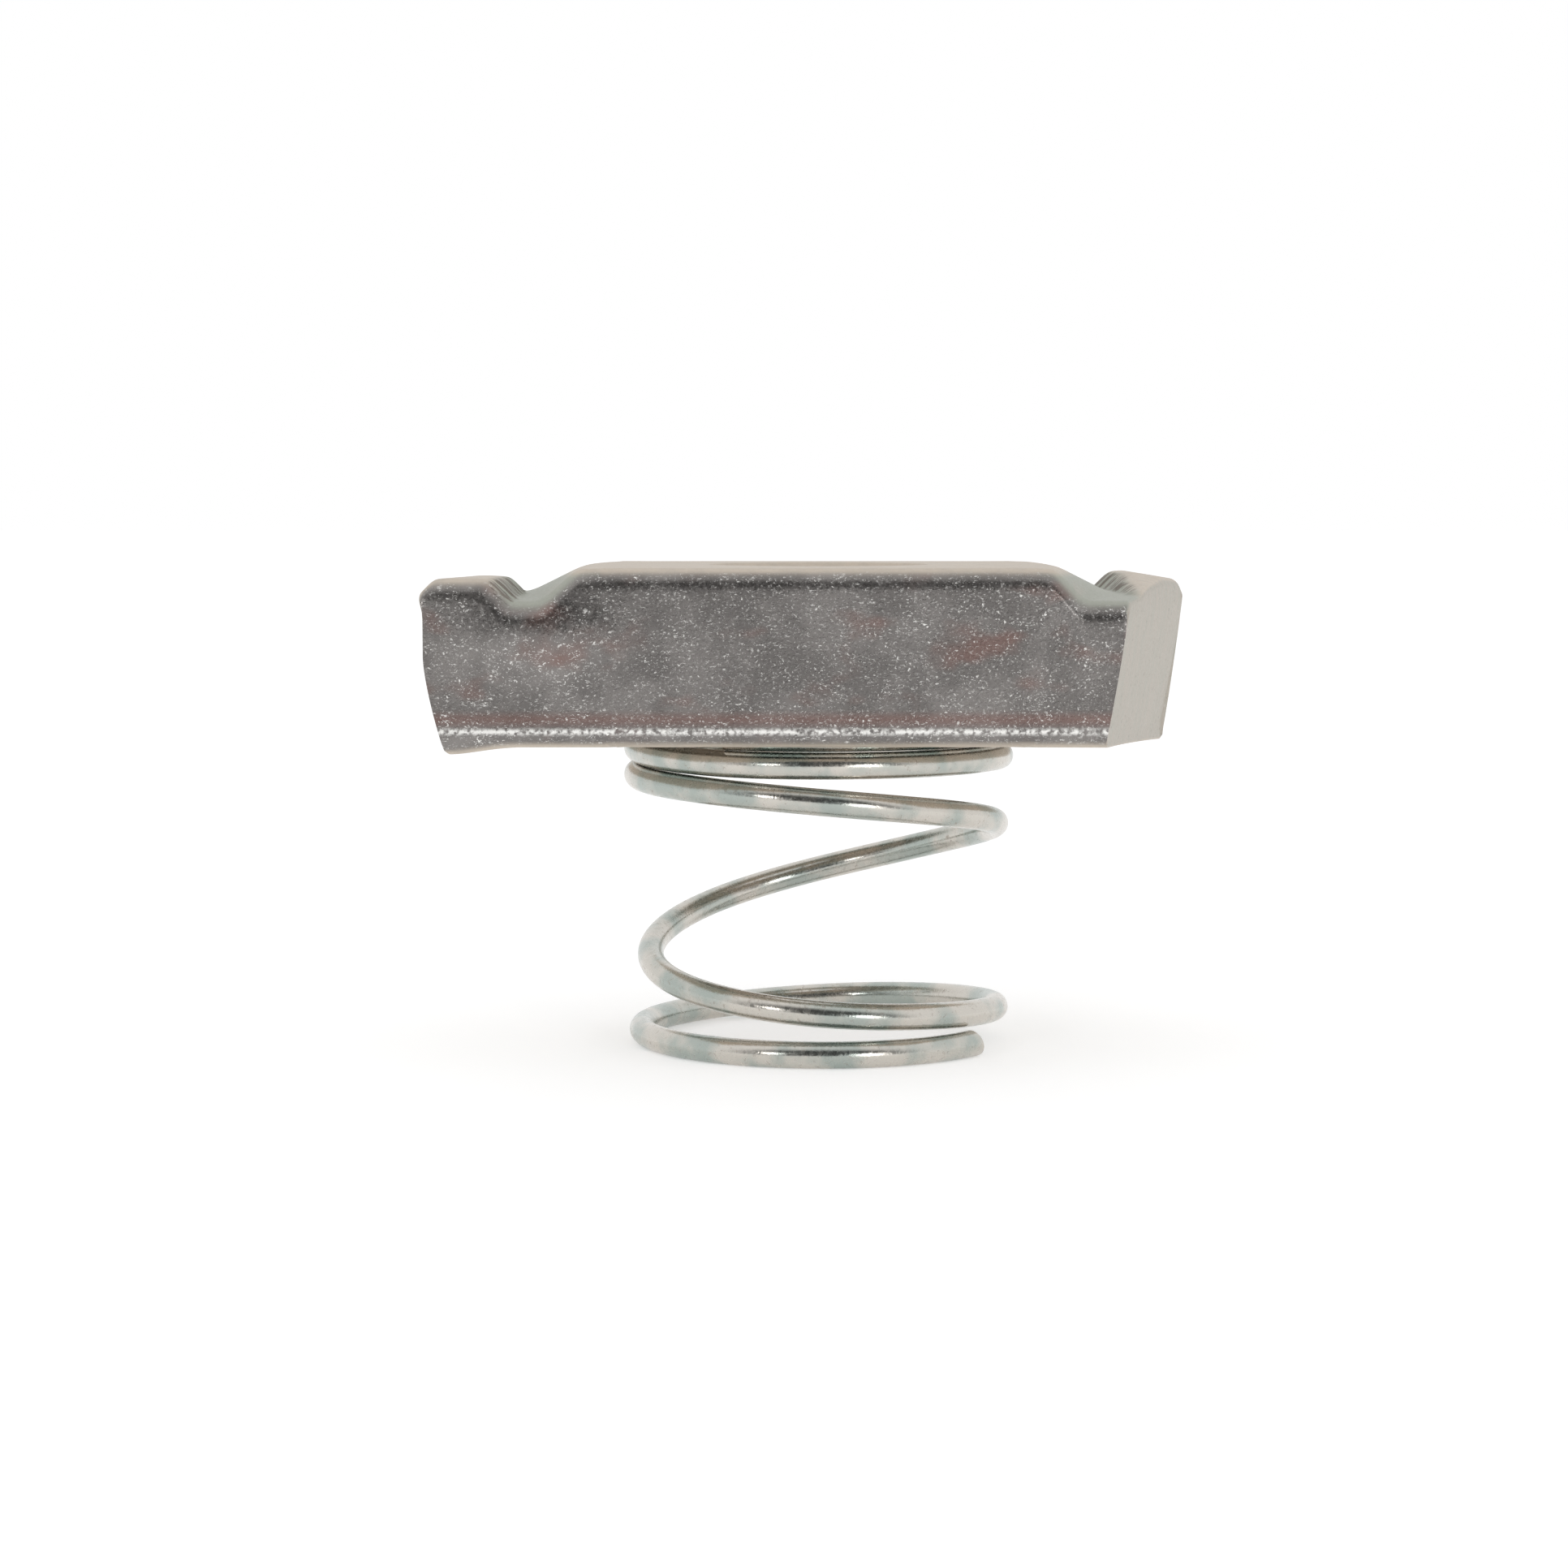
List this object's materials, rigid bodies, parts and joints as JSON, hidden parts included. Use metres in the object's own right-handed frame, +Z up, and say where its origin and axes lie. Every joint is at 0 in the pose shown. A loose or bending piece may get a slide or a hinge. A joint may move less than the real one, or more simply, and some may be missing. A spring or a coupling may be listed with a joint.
{
  "type": "strut spring nut",
  "caption": "Toothed parallelogram channel nut with a threaded hole, held up in a strut by a short wire spring seated in its underside.",
  "frame": {"origin": "on the threaded hole's axis, at the foot of the spring, which the part stands on", "axes": "+Z up along the hole, out of the toothed face; X along the plate; Y along the two lip grooves"},
  "size_m": [0.0352, 0.02, 0.0221],
  "materials": {
    "zinc_plate": "bright zinc plate, slightly mottled",
    "zinc_wire": "bright zinc plated drawn wire"
  },
  "bodies": {
    "root": {"nut_plate": "zinc_plate", "spring": "zinc_wire"}
  },
  "joints": []
}
